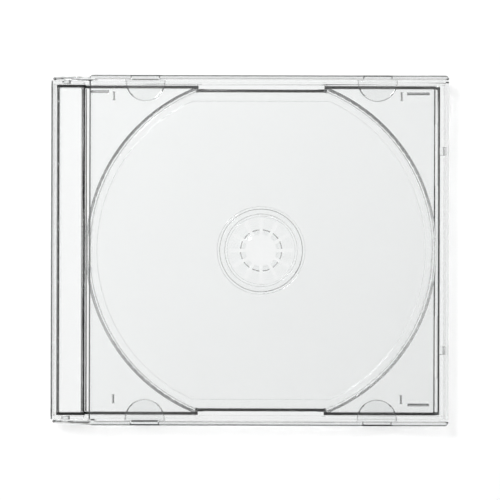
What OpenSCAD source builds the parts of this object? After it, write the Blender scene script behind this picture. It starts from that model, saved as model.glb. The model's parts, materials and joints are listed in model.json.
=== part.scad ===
/* [Case] */
// Width from the hinge edge to the opening edge
case_w = 142; // [140:0.5:148]
// Depth along the hinge
case_d = 125; // [124:0.5:130]
// Thickness when closed
case_t = 10.4; // [10.2:0.1:11.4]
// Thickness of the front and rear panels
panel_t = 1.2; // [1:0.1:1.3]
// Radius of the corners at the opening edge
corner_r = 1.4; // [0.6:0.1:2]

/* [Hinge] */
// Distance of the hinge axis from the hinge edge
pivot_x = 5.4; // [5.2:0.1:6]
// Diameter of the hinge pins
pin_d = 3; // [2.4:0.1:3.4]
// Running clearance around the hinge pins
pin_clear = 0.05; // [0.02:0.01:0.1]
// Thickness of the hinge arms
arm_t = 1.2; // [1:0.1:1.4]
// Gap between a hinge arm and the wall that it turns against
arm_gap = 0.3; // [0.2:0.05:0.4]

/* [Front cover] */
// Distance of the front panel's own edge from the hinge edge
lid_x = 13.8; // [13.6:0.1:14.4]
// Thickness of the side rails
rail_t = 1.3; // [1.1:0.1:1.5]
// Gap between a side rail and the rear cover's side wall
rail_gap = 0.8; // [0.7:0.05:1]
// Gap under the side rails and the hinge arms
rail_foot = 0.2; // [0.1:0.05:0.3]
// Height of the booklet space above the tabs
booklet_h = 2; // [1.8:0.1:2.2]
// Thickness of the booklet tabs
tab_t = 1; // [0.8:0.1:1.1]
// Radius of a half-moon booklet tab
tab_r = 7.1; // [6:0.1:8]
// Distance of the tabs from the disc's centre, along the rails
tab_spread = 41.5; // [38:0.5:44]
// Width of the moulding window behind a tab
window_w = 10.4; // [8:0.1:11]

/* [Rear cover] */
// Thickness of the two spine walls
spine_t = 1.25; // [1.1:0.05:1.4]
// Thickness of the side walls
side_t = 1.2; // [1:0.1:1.3]
// Length of the tall hinge end of a side wall
hinge_end = 12; // [11:0.1:12.4]
// Height of the side wall where the disc's edge hangs over it
low_top = 3.6; // [3:0.1:3.7]
// Gap between the top of the opening spine and the front panel
spine_gap = 0.1; // [0.05:0.05:0.3]

/* [Disc tray] */
// Diameter of the disc that the tray holds
disc_d = 120; // [119:0.5:120.5]
// Distance of the disc's centre from the hinge edge
disc_x = 75.15; // [75:0.05:76]
// Wall thickness of the tray
tray_t = 1; // [0.8:0.05:1.05]
// Radius of the fillets in the inner corners of the mouldings
root_r = 0.3; // [0.2:0.05:0.4]
// Rounding of the raised strip's top edges
strip_round = 0.8; // [0.5:0.1:1]
// Rounding of the edge of the sunk floor
step_round = 0.4; // [0.2:0.05:0.5]
// Gap between the tray and the rear cover's side walls
tray_gap = 0.3; // [0.2:0.05:0.4]
// Gap for the folded card between the tray and each spine
card_gap = 1.55; // [1.4:0.05:1.7]
// Gap between the hinge spine and the raised strip
strip_gap = 0.85; // [0.6:0.05:1]
// Width of the raised strip along the hinge
strip_w = 10.3; // [10:0.1:10.4]
// How far the strip lies below the top of the case
strip_drop = 0.4; // [0.3:0.05:0.6]
// Height of the tray's upper level
upper_z = 5.6; // [5.3:0.1:5.7]
// Height of the ledge under the disc's edge
ledge_z = 3.8; // [3.7:0.05:3.9]
// Height of the sunk floor
floor_z = 3; // [2.9:0.05:3.1]
// Space between the disc's edge and the recess wall
disc_margin = 1.2; // [1:0.1:1.6]
// Bevel around the top of the recess
recess_bevel = 0.4; // [0.2:0.1:0.6]
// Bevel that stiffens the top of the recess wall from beneath
wall_bevel = 0.8; // [0.5:0.1:0.9]
// Width of the ledge that lies under the disc's edge
ledge_lap = 1.1; // [0.9:0.1:1.5]
// Half the depth of the sunk floor
floor_half = 53.45; // [52:0.25:54]
// How far the tray's edge steps in where the disc hangs over it
edge_step = 1.2; // [1:0.1:1.4]
// Bevel along the tray's opening edge
edge_bevel = 1.8; // [1.4:0.1:2]

/* [Tray latches] */
// Width of the slot behind a latch
slot_w = 0.9; // [0.7:0.05:1]
// Distance of the latch nubs from the middle
latch_y = 35.7; // [30:0.5:38]
// Length of a latch slot
slot_len = 22.2; // [18:0.2:24]
// Width of a latch nub
nub_w = 3; // [2.4:0.1:3.6]
// How far a latch nub reaches into its pocket
nub_bite = 0.45; // [0.3:0.05:0.5]
// Clearance around a latch nub in its pocket
nub_clear = 0.2; // [0.15:0.05:0.3]

/* [Hub] */
// Outer radius of the raised disc seat
seat_r = 15.8; // [15.4:0.1:16.4]
// Inner radius of the raised disc seat
seat_in_r = 12.1; // [11.8:0.1:12.4]
// Height of the disc seat
seat_z = 4.2; // [4.1:0.05:4.4]
// Rounding of the disc seat's edges
seat_round = 0.4; // [0.2:0.05:0.5]
// How far the claws' web lies below the disc seat
web_drop = 0.5; // [0.2:0.05:0.6]
// Number of claws
claws = 12; // [8:1:14]
// Width of the slots between the claws
claw_slot = 1.2; // [1:0.05:1.4]
// Radius of the claws' outer faces
claw_r = 7; // [6.8:0.05:7.2]
// Radius at the tip of the claws' gripping bulge
grip_r = 7.6; // [7.5:0.05:7.7]
// Radius of the open middle of the hub
hub_hole_r = 5.5; // [5.2:0.1:5.7]
// Height of the claws' tops
claw_top = 6.9; // [6.8:0.05:7.1]

/* [Hidden] */
$fn = 96;
clear_tint = [0.9, 0.93, 0.94, 0.45];
over = 1;
weld = 0.1;
disc_hole_r = 7.5;
disc_t = 1.2;

half_d = case_d / 2;
pivot_z = case_t / 2;
lid_under = case_t - panel_t;
pin_r = pin_d / 2;

side_out = half_d - rail_t - rail_gap;
side_in = side_out - side_t;
hinge_top = case_t - strip_drop;
spine_x = case_w - spine_t;
low_ramp = 2;

arm_in = side_out + arm_gap;
arm_r = pivot_z - rail_foot;
arm_lap = 2.2;
arm_notch = 13;
rail_in = half_d - rail_t;
rail_z = panel_t + rail_foot;
pin_tip = side_in + 0.1;
pin_chamfer = 0.4;
tab_z = lid_under - booklet_h - tab_t;
tab_y = rail_in - 0.8;
gate_r = 0.9;
gate_x = case_w - 7;
gate_depth = 0.15;

bump_r = 0.8;
bump_sunk = 0.25;
bump_x = case_w - 2.6;
bump_z = 3.4;
dimple_r = 1.4;
dimple_depth = 0.3;

tray_y = side_in - tray_gap;
strip_l = spine_t + strip_gap;
strip_r = strip_l + strip_w;
strip_wall = 1.3;
tray_r = spine_x - card_gap;
recess_r = disc_d / 2 + disc_margin;
floor_r = disc_d / 2 - ledge_lap;
edge_y = tray_y - edge_step;
step_lap = 0.7;
wall_r = recess_r + tray_t;
edge_half = sqrt(pow(wall_r, 2) - pow(edge_y, 2)) - step_lap;
low_half = edge_half + tray_t;
inner_bevel = edge_bevel - tray_t * (2 - sqrt(2));
rib_t = 0.6;
rib_len = 2.9;
rib_l = strip_r + 9.9;
rib_r = tray_r - 13.8;
rib_back = tray_y - 3.7;
rib_front = 5.6 - tray_y;
rib_spots = [[rib_l, rib_back], [rib_r, rib_back], [rib_l, rib_front], [rib_r, rib_front]];
bar_r = tray_r - 3.9;
bars = [
    [strip_r + 1.5, strip_r + 7.9, tray_y - 2.2], [tray_r - 11.7, bar_r, tray_y - 2.7],
    [tray_r - 11.3, bar_r, 3.7 - tray_y]
];

slot_l = tray_r - tray_t - slot_w + 0.05;
slot_shift = 1.3;
nub_out = spine_x + nub_bite;
nub_low = 2.4;
nub_top = 4.2;
nub_ramp = 0.9;
nub_lip = 0.6;

web_t = 0.8;
web_z = seat_z - web_drop - web_t;
seat_join = 0.5;
slot_end_r = seat_in_r - 0.6;
seat_wall = 0.85;
grip_z = seat_z + disc_t + 0.5;
grip_rise = 0.5;
grip_tip = 0.3;
claw_lead = 0.6;
claw_chamfer = 0.3;

module placed() {
    translate([-case_w / 2, 0, 0]) children();
}

module both_sides() {
    children();
    mirror([0, 1, 0]) children();
}

// A profile drawn in X and Z, as deep as asked, with its outer face at Y = y1
module along_y(y1, depth) {
    translate([0, y1, 0]) rotate([90, 0, 0]) linear_extrude(depth) children();
}

// A profile drawn in Y and Z, from X = x0 to X = x1
module along_x(x0, x1) {
    translate([x0, 0, 0]) rotate([90, 0, 90]) linear_extrude(x1 - x0) children();
}

module about_disc() {
    translate([disc_x, 0, 0]) rotate_extrude($fn = 180) children();
}

// What a fillet adds to an inner corner, or a rounding takes off an outer one
module corner(x, z, r, turn) {
    translate([x, z]) rotate(turn) difference() {
        square(r);
        translate([r, r]) circle(r = r);
    }
}

// A plan with its two corners at the opening edge rounded
module plan(x0, x1, half, r) {
    translate([x0, -half]) square([x1 - x0 - r, 2 * half]);
    translate([x0, -half + r]) square([x1 - x0, 2 * (half - r)]);
    for (side = [-1, 1]) translate([x1 - r, side * (half - r)]) circle(r = r);
}

module rear_panel() {
    linear_extrude(panel_t) difference() {
        plan(0, case_w, half_d, corner_r);
        both_sides() translate([-over, side_out]) square([arm_notch + over, half_d]);
    }
}

module spine_wall(x, top) {
    along_y(side_out, 2 * side_out) difference() {
        translate([x, 0]) square([spine_t, top]);
        corner(x, top, root_r, 270);
        corner(x + spine_t, top, root_r, 180);
    }
}

// The fillet at the foot of a spine wall, on the side of the tray
module spine_root(x, turn) {
    along_y(side_in + weld, 2 * (side_in + weld)) corner(x, panel_t, root_r, turn);
}

// Tall at the hinge, low where the disc's edge hangs over the wall
module side_wall() {
    low_l = disc_x - low_half;
    low_r = disc_x + low_half;
    along_y(side_out, side_t) polygon([
        [0, 0], [case_w, 0], [case_w, upper_z],
        [low_r, upper_z], [low_r - low_ramp, low_top],
        [low_l + low_ramp, low_top], [low_l, upper_z],
        [hinge_end, upper_z], [hinge_end, hinge_top], [0, hinge_top]
    ]);
}

module closing_bump() {
    translate([bump_x, side_out - bump_sunk, bump_z]) sphere(r = bump_r);
}

module pivot_hole() {
    translate([pivot_x, side_out + over, pivot_z]) rotate([90, 0, 0])
        cylinder(r = pin_r + pin_clear, h = side_t + 2 * over);
}

module latch_pocket() {
    translate([spine_x - over, latch_y - nub_w / 2 - nub_clear, nub_low - nub_clear])
        cube([over + nub_bite + nub_clear, nub_w + 2 * nub_clear, nub_top - nub_low + 2 * nub_clear]);
}

module rear_cover() {
    color(clear_tint) placed() difference() {
        union() {
            rear_panel();
            spine_wall(0, hinge_top);
            spine_wall(spine_x, lid_under - spine_gap);
            spine_root(spine_t, 0);
            spine_root(spine_x, 90);
            both_sides() side_wall();
            both_sides() closing_bump();
        }
        both_sides() pivot_hole();
        both_sides() latch_pocket();
    }
}

module front_shell() {
    intersection() {
        linear_extrude(case_t) intersection() {
            plan(lid_x, case_w, half_d, corner_r);
            translate([case_w + lid_x, 0]) mirror([1, 0]) plan(lid_x, case_w, half_d, corner_r);
        }
        union() {
            translate([0, -half_d, lid_under]) cube([case_w, case_d, panel_t]);
            both_sides() translate([0, rail_in, rail_z]) cube([case_w, rail_t, case_t - rail_z]);
            both_sides() along_x(lid_x, case_w) corner(rail_in, lid_under, root_r, 180);
        }
    }
}

// A round-ended arm outside the rear cover, with its pin turned inwards
module hinge_arm() {
    along_y(arm_in + arm_t, arm_t) {
        translate([pivot_x, pivot_z]) circle(r = arm_r);
        translate([pivot_x, rail_z]) square([lid_x + arm_lap - pivot_x, pivot_z + arm_r - rail_z]);
    }
    translate([pivot_x, arm_in + weld, pivot_z]) rotate([90, 0, 0])
        cylinder(r = pin_r, h = arm_in + weld - pin_tip - pin_chamfer);
    translate([pivot_x, pin_tip + pin_chamfer, pivot_z]) rotate([90, 0, 0])
        cylinder(r1 = pin_r, r2 = pin_r - pin_chamfer, h = pin_chamfer);
}

module booklet_tab(x) {
    translate([x, 0, tab_z]) linear_extrude(tab_t) intersection() {
        translate([0, tab_y]) circle(r = tab_r);
        translate([-tab_r, 0]) square([2 * tab_r, rail_in + weld]);
    }
}

module tab_window(x) {
    translate([x - window_w / 2, rail_in - root_r - weld, tab_z + tab_t])
        cube([window_w, rail_t + over, booklet_h]);
}

module closing_dimple() {
    translate([bump_x, rail_in - dimple_r + dimple_depth, bump_z]) sphere(r = dimple_r);
}

module front_cover() {
    color(clear_tint) placed() difference() {
        union() {
            front_shell();
            both_sides() hinge_arm();
            both_sides() for (side = [-1, 1]) booklet_tab(disc_x + side * tab_spread);
        }
        both_sides() for (side = [-1, 1]) tab_window(disc_x + side * tab_spread);
        both_sides() closing_dimple();
        translate([gate_x, 0, case_t - gate_depth]) cylinder(r = gate_r, h = over);
    }
}

// The tray's plan, shrunk by inset, with its two long edges stepped in beside the disc
module tray_plan(x0, inset) {
    difference() {
        translate([x0, inset - tray_y]) square([tray_r - inset - x0, 2 * (tray_y - inset)]);
        both_sides() translate([disc_x - edge_half - inset, edge_y - inset])
            square([2 * (edge_half + inset), half_d]);
    }
}

// The recess that the disc lies in
module recess_cut() {
    about_disc() difference() {
        polygon([
            [0, ledge_z], [recess_r, ledge_z], [recess_r, upper_z - recess_bevel],
            [recess_r + recess_bevel, upper_z], [recess_r + recess_bevel, case_t], [0, case_t]
        ]);
        corner(recess_r, ledge_z, root_r, 90);
    }
}

module floor_plan(grow) {
    translate([disc_x, 0]) intersection() {
        circle(r = floor_r + grow, $fn = 180);
        square([3 * floor_r, 2 * (floor_half + grow)], center = true);
    }
}

// The space above the sunk floor, as far as reach from the disc's centre
module floor_profile(reach) {
    difference() {
        translate([0, floor_z]) square([reach, case_t]);
        corner(reach, floor_z, root_r, 90);
    }
    corner(reach, ledge_z, step_round, 270);
}

// The sunk floor: round, and cut straight along the two long edges
module floor_cut() {
    intersection() {
        about_disc() floor_profile(floor_r);
        along_x(0, case_w) {
            floor_profile(floor_half);
            mirror([1, 0]) floor_profile(floor_half);
        }
    }
}

module tray_block() {
    intersection() {
        translate([0, 0, panel_t]) linear_extrude(case_t) tray_plan(strip_l, 0);
        along_y(tray_y + over, 2 * (tray_y + over)) difference() {
            polygon([
                [strip_l, 0], [strip_l, hinge_top], [strip_r, hinge_top], [strip_r, upper_z],
                [tray_r - edge_bevel, upper_z], [tray_r, upper_z - edge_bevel], [tray_r, 0]
            ]);
            corner(strip_l, hinge_top, strip_round, 270);
            corner(strip_r, hinge_top, strip_round, 180);
        }
    }
}

// The hollow under the upper level, outside the recess wall
module upper_core() {
    difference() {
        intersection() {
            linear_extrude(case_t) tray_plan(strip_r, tray_t);
            along_y(tray_y + over, 2 * (tray_y + over)) polygon([
                [0, 0], [0, upper_z - tray_t], [tray_r - tray_t - inner_bevel, upper_z - tray_t],
                [tray_r - tray_t, upper_z - tray_t - inner_bevel], [tray_r - tray_t, 0]
            ]);
        }
        about_disc() polygon([
            [0, 0], [wall_r, 0], [wall_r, upper_z - tray_t - wall_bevel],
            [wall_r + wall_bevel, upper_z - tray_t], [wall_r + wall_bevel, case_t], [0, case_t]
        ]);
    }
}

// The hollow under the ledge, and lower still under the sunk floor
module ledge_core() {
    linear_extrude(floor_z - tray_t) tray_plan(strip_r, tray_t);
    linear_extrude(ledge_z - tray_t) difference() {
        tray_plan(strip_r, tray_t);
        floor_plan(tray_t);
    }
    about_disc() corner(wall_r, ledge_z - tray_t, root_r, 90);
}

module strip_core() {
    core_l = strip_l + tray_t;
    core_r = strip_r - strip_wall;
    core_top = hinge_top - tray_t;
    along_y(tray_y - tray_t, 2 * (tray_y - tray_t)) difference() {
        translate([core_l, 0]) square([core_r - core_l, core_top]);
        corner(core_l, core_top, root_r, 270);
        corner(core_r, core_top, root_r, 180);
    }
}

module tray_ribs() {
    for (spot = rib_spots)
        translate([spot[0] - rib_t / 2, spot[1] - rib_len / 2, panel_t])
            cube([rib_t, rib_len, upper_z - panel_t - tray_t / 2]);
    for (bar = bars)
        translate([bar[0], bar[2] - rib_t / 2, panel_t])
            cube([bar[1] - bar[0], rib_t, upper_z - panel_t - tray_t / 2]);
}

module latch_slot() {
    translate([slot_l, latch_y - slot_len / 2 - slot_shift, 0]) cube([slot_w, slot_len, case_t]);
}

// A wedge that springs into the spine wall's pocket
module latch_nub() {
    along_y(latch_y + nub_w / 2, nub_w) polygon([
        [tray_r - weld, nub_low], [nub_out - nub_ramp, nub_low], [nub_out, nub_top - nub_lip],
        [nub_out, nub_top], [tray_r - weld, nub_top]
    ]);
}

// A raised ring, hollow beneath, with the claws' web joined to its inner side
module disc_seat() {
    wall_in = seat_r - seat_wall;
    hollow_in = seat_in_r + seat_wall;
    under = floor_z - tray_t;
    rotate_extrude() {
        difference() {
            translate([seat_in_r, under]) square([seat_r - seat_in_r, seat_z - under]);
            corner(seat_r, seat_z, seat_round, 180);
            corner(seat_in_r, seat_z, seat_round, 270);
            difference() {
                translate([hollow_in, 0]) square([wall_in - hollow_in, seat_z - tray_t]);
                corner(hollow_in, seat_z - tray_t, root_r, 270);
                corner(wall_in, seat_z - tray_t, root_r, 180);
            }
        }
        corner(seat_r, floor_z, root_r, 0);
        translate([seat_in_r - seat_join, web_z]) square([seat_join + weld, web_t]);
    }
}

// Spring claws: a slotted web with a gripping tooth at the inner end of each part
module claw_ring() {
    difference() {
        rotate_extrude() polygon([
            [hub_hole_r, web_z], [seat_in_r + weld, web_z], [seat_in_r + weld, web_z + web_t],
            [claw_r, web_z + web_t], [claw_r, grip_z - grip_rise], [grip_r, grip_z],
            [grip_r - weld, grip_z + grip_tip], [claw_r - claw_lead, claw_top],
            [hub_hole_r + claw_chamfer, claw_top], [hub_hole_r, claw_top - claw_chamfer]
        ]);
        for (i = [0 : claws - 1]) rotate([0, 0, i * 360 / claws])
            translate([0, -claw_slot / 2, 0]) cube([slot_end_r, claw_slot, case_t]);
    }
}

module disc_tray() {
    color(clear_tint) placed() {
        difference() {
            tray_block();
            recess_cut();
            floor_cut();
            upper_core();
            ledge_core();
            strip_core();
            both_sides() latch_slot();
            translate([disc_x, 0, 0]) cylinder(r = seat_r - weld, h = case_t);
        }
        tray_ribs();
        both_sides() latch_nub();
        translate([disc_x, 0, 0]) {
            disc_seat();
            claw_ring();
        }
    }
}

rear_cover();
disc_tray();
front_cover();
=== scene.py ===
import json
import math

import bpy
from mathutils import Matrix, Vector


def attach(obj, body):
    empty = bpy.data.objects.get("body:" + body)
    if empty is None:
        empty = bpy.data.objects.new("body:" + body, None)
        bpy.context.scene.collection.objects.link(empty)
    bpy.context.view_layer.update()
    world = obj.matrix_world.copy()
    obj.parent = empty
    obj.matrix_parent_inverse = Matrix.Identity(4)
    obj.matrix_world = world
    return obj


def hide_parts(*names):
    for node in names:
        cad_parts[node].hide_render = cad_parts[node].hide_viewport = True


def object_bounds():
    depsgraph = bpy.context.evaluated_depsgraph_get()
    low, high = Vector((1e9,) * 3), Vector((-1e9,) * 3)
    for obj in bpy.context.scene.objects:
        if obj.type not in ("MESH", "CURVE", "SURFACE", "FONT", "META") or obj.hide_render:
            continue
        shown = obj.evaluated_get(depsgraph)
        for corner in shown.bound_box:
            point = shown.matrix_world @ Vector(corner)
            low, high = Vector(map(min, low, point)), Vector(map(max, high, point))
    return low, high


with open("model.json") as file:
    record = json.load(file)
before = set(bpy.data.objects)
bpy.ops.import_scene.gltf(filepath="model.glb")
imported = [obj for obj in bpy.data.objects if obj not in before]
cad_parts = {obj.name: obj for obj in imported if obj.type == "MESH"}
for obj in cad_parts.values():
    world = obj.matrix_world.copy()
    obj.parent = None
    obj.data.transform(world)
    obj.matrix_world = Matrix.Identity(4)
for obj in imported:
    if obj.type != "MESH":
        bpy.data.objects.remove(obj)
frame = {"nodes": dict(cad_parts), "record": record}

scene = bpy.context.scene
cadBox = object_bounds()
nodes = frame["nodes"]
caseLow, caseHigh = (Vector(corner) for corner in cadBox)
print("frame loaded:", ", ".join(sorted(nodes)))


# A socket with Python's operators, so that shader sums read as expressions

class Wire:
    def __init__(self, tree, socket=None):
        self.tree = tree
        self.socket = socket

    def node(self, kind, sockets=None, output=0):
        made = self.tree.nodes.new(kind)
        for name, value in (sockets or {}).items():
            plug(self.tree, made.inputs[name], value)
        return Wire(self.tree, made.outputs[output])

    def math(self, operation, first, second=0.0):
        made = self.tree.nodes.new("ShaderNodeMath")
        made.operation = operation
        plug(self.tree, made.inputs[0], first)
        plug(self.tree, made.inputs[1], second)
        return Wire(self.tree, made.outputs[0])

    def axes(self):
        made = self.tree.nodes.new("ShaderNodeSeparateXYZ")
        plug(self.tree, made.inputs[0], self)
        return [Wire(self.tree, socket) for socket in made.outputs]

    def absolute(self):
        return self.math("ABSOLUTE", self)

    def ramp(self, low, high, top=1.0):
        return self.node("ShaderNodeMapRange", {
            "Value": self, "From Min": low, "From Max": high, "To Min": 0.0, "To Max": top,
        })

    def mixColours(self, first, second):
        made = self.tree.nodes.new("ShaderNodeMix")
        made.data_type = "RGBA"
        plug(self.tree, made.inputs[0], self)
        plug(self.tree, made.inputs[6], first)  # 6 and 7 are the node's two colours
        plug(self.tree, made.inputs[7], second)
        return Wire(self.tree, made.outputs[2])

    def mixShaders(self, first, second):
        made = self.tree.nodes.new("ShaderNodeMixShader")
        plug(self.tree, made.inputs[0], self)
        plug(self.tree, made.inputs[1], first)
        plug(self.tree, made.inputs[2], second)
        return Wire(self.tree, made.outputs[0])

    def __add__(self, other):
        return self.math("ADD", self, other)

    def __sub__(self, other):
        return self.math("SUBTRACT", self, other)

    def __mul__(self, other):
        return self.math("MULTIPLY", self, other)

    def __rsub__(self, other):
        return self.math("SUBTRACT", other, self)

    __radd__ = __add__
    __rmul__ = __mul__


def plug(tree, socket, value):
    if isinstance(value, Wire):
        tree.links.new(value.socket, socket)
    else:
        socket.default_value = value


def newMaterial(name):
    material = bpy.data.materials.new(name)
    material.use_nodes = True
    tree = material.node_tree
    tree.nodes.clear()
    output = tree.nodes.new("ShaderNodeOutputMaterial")
    return material, tree, output


# Clear polystyrene: a little grey in its depth, moulding waves, fine rubbed scratches, and
# painted shade along the upper rims of the lid's two long sides, a near-black base colour for the
# dark outline there

clearPlastic = {
    "tint": (0.99, 0.995, 0.994, 1),
    "paintedRimShadeColour": (0.08, 0.085, 0.085, 1),
    "paintedRimShadeWidth": 0.00045,
    "ior": 1.59,
    "roughness": 0.01,
    "scratchRoughness": 0.06,
    "depthColour": (0.5, 0.52, 0.52, 1),
    "depthDensity": 22,
    "lampThrough": (0.85, 0.85, 0.85, 1),
    "waveScale": 28,
    "waveDetail": 1.0,
    "waveHeight": 0.00004,
    "scratchHeight": 0.0000015,
    "scratches": [(25, 30, 900), (-50, 24, 700), (80, 36, 1100)],  # turn, along and across scale
    "scratchFrom": 0.66,
    "scratchFull": 0.74,
}


def scratchLines(place, turn, alongScale, acrossScale, values):
    turned = place.node("ShaderNodeMapping", {
        "Vector": place,
        "Rotation": (0, 0, math.radians(turn)),
        "Scale": (alongScale, acrossScale, alongScale),
    })
    lines = place.node("ShaderNodeTexNoise", {"Vector": turned, "Scale": 1.0, "Detail": 0.0})
    return lines.ramp(values["scratchFrom"], values["scratchFull"])


# Mask of the painted shade: the top edge of both long sides of the case
def paintedRimShadeMask(place, width):
    along, upward = place.axes()[1:]
    outside = place.math("GREATER_THAN", along.absolute(), caseHigh.y - width)
    return outside * place.math("GREATER_THAN", upward, caseHigh.z - width)


def makeClearPlastic(name, values):
    material, tree, output = newMaterial(name)
    place = Wire(tree).node("ShaderNodeTexCoord", output="Object")
    wave = place.node("ShaderNodeTexNoise", {
        "Vector": place, "Scale": values["waveScale"], "Detail": values["waveDetail"],
    })
    scratched = sum(scratchLines(place, *each, values) for each in values["scratches"])
    height = wave * values["waveHeight"] - scratched * values["scratchHeight"]
    # Base Color holds painted shade: near black on the upper rims of the long sides, for the dark
    # outline
    plastic = place.node("ShaderNodeBsdfPrincipled", {
        "Base Color": paintedRimShadeMask(place, values["paintedRimShadeWidth"]).mixColours(
            values["tint"], values["paintedRimShadeColour"],
        ),
        "Roughness": scratched * values["scratchRoughness"] + values["roughness"],
        "IOR": values["ior"],
        "Transmission Weight": 1.0,
        "Normal": place.node("ShaderNodeBump", {
            "Height": height, "Distance": 1.0, "Strength": 1.0,
        }),
    })
    depth = place.node("ShaderNodeVolumeAbsorption", {
        "Color": values["depthColour"], "Density": values["depthDensity"],
    })
    lampThrough = place.node("ShaderNodeBsdfTransparent", {"Color": values["lampThrough"]})
    lampRay = place.node("ShaderNodeLightPath", output="Is Shadow Ray")
    plug(tree, output.inputs["Surface"], lampRay.mixShaders(plastic, lampThrough))
    plug(tree, output.inputs["Volume"], depth)
    return material


# Mouldings: merged copies of the solids, with small 45 degree bevels on their straight edges

mould = {
    "mergeWithin": 0.000002,
    "flatWithin": 0.6,
    "sharpFrom": {"rear_cover": 25, "disc_tray": 50, "front_cover": 25},
    "edgeBevel": {"rear_cover": 0.0003, "disc_tray": 0.0002, "front_cover": 0.00045},
    "longEdge": {"rear_cover": 0.0012, "disc_tray": 0.006, "front_cover": 0.0012},
    "shortEdge": 0.0003,
    "recessRadius": 0.0668,
    "wallRadius": 0.0622,
    "wallFoot": 0.0038,
    "wallFootRise": 0.00008,
    "placeWithin": 0.00003,
    "smoothBelow": 35,
    "normalWeight": 100,
}
bodyOf = {
    nodeName: body
    for body, nodeNames in frame["record"]["behaviour"]["bodies"].items()
    for nodeName in nodeNames
}
slotOf = {part["node"]: part["material_slot"] for part in frame["record"]["subparts"]}
discSeat = next(mount for mount in frame["record"]["mounts"] if mount["name"] == "disc_hub")
discCentre = Vector(discSeat["pos_m"][:2])


def fromCentre(corner):
    return (corner.co.xy - discCentre).length


def copyNode(nodeName):
    bpy.ops.object.select_all(action="DESELECT")
    nodes[nodeName].select_set(True)
    bpy.context.view_layer.objects.active = nodes[nodeName]
    bpy.ops.object.duplicate()
    piece = bpy.context.object
    piece.name = nodeName + "_moulding"
    bpy.ops.mesh.customdata_custom_splitnormals_clear()
    return piece


def mergeCorners(selectMode, values):
    bpy.ops.object.mode_set(mode="EDIT")
    bpy.ops.mesh.select_mode(type=selectMode)
    bpy.ops.mesh.select_all(action="SELECT")
    bpy.ops.mesh.remove_doubles(threshold=values["mergeWithin"])


# The foot of the recess wall's bevel goes up a little, which turns the view into the dark horizon

def easeWallBevel(piece, values):
    mergeCorners("VERT", values)
    bpy.ops.mesh.select_all(action="DESELECT")
    bpy.ops.object.mode_set(mode="OBJECT")
    near = values["placeWithin"]
    for corner in piece.data.vertices:
        fromWall = abs(fromCentre(corner) - values["wallRadius"])
        corner.select = fromWall < near and abs(corner.co.z - values["wallFoot"]) < near
    print("wall foot corners:", sum(corner.select for corner in piece.data.vertices))
    bpy.ops.object.mode_set(mode="EDIT")
    bpy.ops.transform.translate(value=(0, 0, values["wallFootRise"]))
    bpy.ops.object.mode_set(mode="OBJECT")


# Short edges in crowded places and the tray's edges near its recess stay sharp

def leaveFineEdges(piece, nodeName, values):
    corners = piece.data.vertices
    shortest = [1.0] * len(corners)
    lengths = []
    for edge in piece.data.edges:
        start, end = edge.vertices
        length = (corners[end].co - corners[start].co).length
        lengths.append(length)
        shortest[start] = min(shortest[start], length)
        shortest[end] = min(shortest[end], length)
    for edge, length in zip(piece.data.edges, lengths):
        start, end = edge.vertices
        crowded = min(shortest[start], shortest[end]) < values["shortEdge"]
        nearest = min(fromCentre(corners[start]), fromCentre(corners[end]))
        recess = nodeName == "disc_tray" and nearest < values["recessRadius"]
        if (crowded and length < values["longEdge"][nodeName]) or recess:
            edge.select = False
    for face in piece.data.polygons:  # a selected face would select its edges again
        face.select = False


def makeMoulding(nodeName, values):
    piece = copyNode(nodeName)
    if nodeName == "disc_tray":
        easeWallBevel(piece, values)
    mergeCorners("EDGE", values)
    bpy.ops.mesh.dissolve_limited(angle_limit=math.radians(values["flatWithin"]))
    bpy.ops.mesh.select_all(action="DESELECT")
    bpy.ops.mesh.edges_select_sharp(sharpness=math.radians(values["sharpFrom"][nodeName]))
    bpy.ops.object.mode_set(mode="OBJECT")
    leaveFineEdges(piece, nodeName, values)
    bpy.ops.object.mode_set(mode="EDIT")
    bpy.ops.mesh.bevel(
        offset=values["edgeBevel"][nodeName], segments=1, affect="EDGES",
        clamp_overlap=False, miter_outer="SHARP",
    )
    bpy.ops.object.mode_set(mode="OBJECT")
    bpy.ops.object.shade_smooth_by_angle(angle=math.radians(values["smoothBelow"]))
    flatter = piece.modifiers.new("flatter", "WEIGHTED_NORMAL")
    flatter.weight = values["normalWeight"]
    flatter.keep_sharp = True
    bpy.ops.object.modifier_apply(modifier=flatter.name)
    piece.data.materials.clear()
    piece.data.materials.append(makeClearPlastic(slotOf[nodeName], clearPlastic))
    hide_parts(nodeName)
    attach(piece, bodyOf[nodeName])
    return piece


mouldings = [makeMoulding(nodeName, mould) for nodeName in sorted(nodes)]
print("mouldings made:", ", ".join(f"{m.name} {len(m.data.polygons)} faces" for m in mouldings))


# White table, glowing by itself. Painted light: rays through the clear plastic see its glow full
# under the case and the opened lid, dimmer beside them, and dark beyond the long sides.

table = {
    "size": 3.0,
    "drop": 0.00005,
    "colour": (0.92, 0.92, 0.92, 1),
    "glowColour": (1, 1, 1, 1),
    "ownLight": 0.2,
    "clearLight": 0.97,
    "belowCase": 1.0,
    "openLidReach": 0.215,  # the opened lid lies over this length left of the middle
    "fadeFrom": 0.02,
    "fadeOver": 0.015,
    "besideCase": 0.55,
    "sideSlope": 1.2,
    "sideSpread": 0.04,
}


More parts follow.
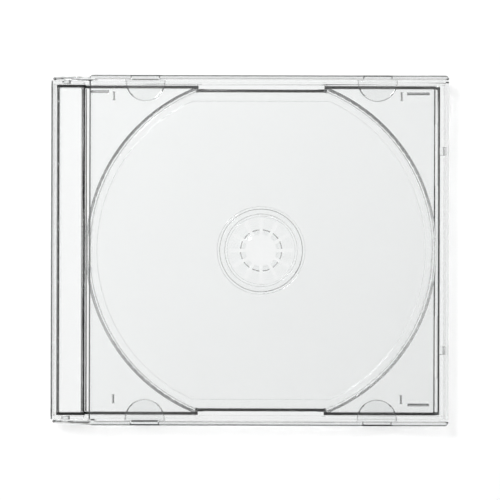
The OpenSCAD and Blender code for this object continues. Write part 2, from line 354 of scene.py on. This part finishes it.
def makeTable(values):
    bpy.ops.object.select_all(action="DESELECT")
    bpy.ops.mesh.primitive_plane_add(size=values["size"], location=(0, 0, -values["drop"]))
    floor = bpy.context.object
    floor.name = "table"
    bpy.ops.object.transform_apply(location=True)
    material, tree, output = newMaterial("table_white")
    start = Wire(tree)
    across, along = start.node("ShaderNodeTexCoord", output="Object").axes()[:2]
    middle = (caseHigh.x - values["openLidReach"]) / 2
    halfWidth = (caseHigh.x + values["openLidReach"]) / 2
    past = (across - middle).absolute() - halfWidth
    beyond = start.math("MAXIMUM", past, along.absolute() - caseHigh.y)
    faded = (beyond - values["fadeFrom"]).ramp(0.0, values["fadeOver"])
    sideways = (across.absolute() - along.absolute() * values["sideSlope"]).ramp(
        0.0, values["sideSpread"], values["besideCase"],
    )
    # Painted light: the glow strength seen through the plastic, set by place on the table
    through = (1 - faded) * values["belowCase"] + faded * sideways
    cameraRay = start.node("ShaderNodeLightPath", output="Is Camera Ray")
    clearRay = start.node("ShaderNodeLightPath", output="Is Transmission Ray")
    lit = start.node("ShaderNodeBsdfDiffuse", {"Color": values["colour"]})
    glow = start.node("ShaderNodeEmission", {
        "Color": values["glowColour"], "Strength": 1 - clearRay * (1 - through),
    })
    share = cameraRay * values["ownLight"] + clearRay * values["clearLight"]
    plug(tree, output.inputs["Surface"], share.mixShaders(lit, glow))
    floor.data.materials.append(material)


makeTable(table)
print("table made")


# Light: one large lamp, and a room that is dark to the plastic towards the two long sides

room = {
    "colour": (1, 1, 1, 1),
    "overhead": 0.58,
    "overheadLow": 0.1,
    "overheadHigh": 0.9,
    "overheadSlope": 2.5,
    "overheadFrom": 0.22,
    "overheadFull": 0.45,
    "sideLight": 0.7,
    "sideFrom": 0.7,
    "sideFull": 1.05,
    "sideTilt": 0.25,
}
keyLamp = {"place": (-0.9, 1.0, 2.2), "size": 0.6, "power": 50}
bounces = {"clear": 14, "lampThrough": 32}


def lightRoom(values):
    world = bpy.data.worlds.new("room")
    scene.world = world
    world.use_nodes = True
    tree = world.node_tree
    tree.nodes.clear()
    output = tree.nodes.new("ShaderNodeOutputWorld")
    start = Wire(tree)
    across, along, upward = start.node("ShaderNodeTexCoord", output="Generated").axes()
    ceiling = (along - across) * values["overheadSlope"] + values["overhead"]
    atLeast = start.math("MAXIMUM", ceiling, values["overheadLow"])
    limited = start.math("MINIMUM", atLeast, values["overheadHigh"])
    overhead = upward.ramp(values["overheadFrom"], values["overheadFull"])
    reach = across.absolute() + along * values["sideTilt"]
    side = reach.ramp(values["sideFrom"], values["sideFull"], values["sideLight"])
    seen = start.node("ShaderNodeLightPath", output="Is Camera Ray")
    light = start.node("ShaderNodeBackground", {
        "Color": values["colour"], "Strength": seen + (1 - seen) * (limited * overhead + side),
    })
    plug(tree, output.inputs["Surface"], light)


def addLamp(name, values):
    lampData = bpy.data.lights.new(name, "AREA")
    lampData.shape = "DISK"
    lampData.size = values["size"]
    lampData.energy = values["power"]
    lamp = bpy.data.objects.new(name, lampData)
    scene.collection.objects.link(lamp)
    lamp.location = values["place"]
    lamp.rotation_euler = (-lamp.location).to_track_quat("-Z", "Y").to_euler()


lightRoom(room)
addLamp("key", keyLamp)
scene.cycles.max_bounces = bounces["clear"]
scene.cycles.transmission_bounces = bounces["clear"]
scene.cycles.glossy_bounces = bounces["clear"]
scene.cycles.transparent_max_bounces = bounces["lampThrough"]
print("light set")


# Camera, straight above the case

photo = {
    "pixels": 500,
    "pixelsPerMetre": 2806,
    "casePlaceX": 249.5,
    "casePlaceY": 250.4,
    "turn": 0.16,
    "distance": 1.0,
    "sensorWidth": 36,
    "clipStart": 0.05,
}


def addCamera(values):
    camera = bpy.data.objects.new("camera", bpy.data.cameras.new("camera"))
    scene.collection.objects.link(camera)
    perMetre = values["pixelsPerMetre"]
    lens = camera.data
    lens.sensor_width = values["sensorWidth"]
    lens.lens = lens.sensor_width * values["distance"] * perMetre / values["pixels"]
    lens.clip_start = values["clipStart"]
    middle = (caseLow + caseHigh) / 2
    shiftX = (values["pixels"] / 2 - values["casePlaceX"]) / perMetre
    shiftY = (values["casePlaceY"] - values["pixels"] / 2) / perMetre
    height = caseHigh.z + values["distance"]
    camera.location = (middle.x + shiftX, middle.y + shiftY, height)
    camera.rotation_euler = (0, 0, math.radians(values["turn"]))
    scene.camera = camera


addCamera(photo)
scene.view_settings.view_transform = "Standard"
print("camera set")
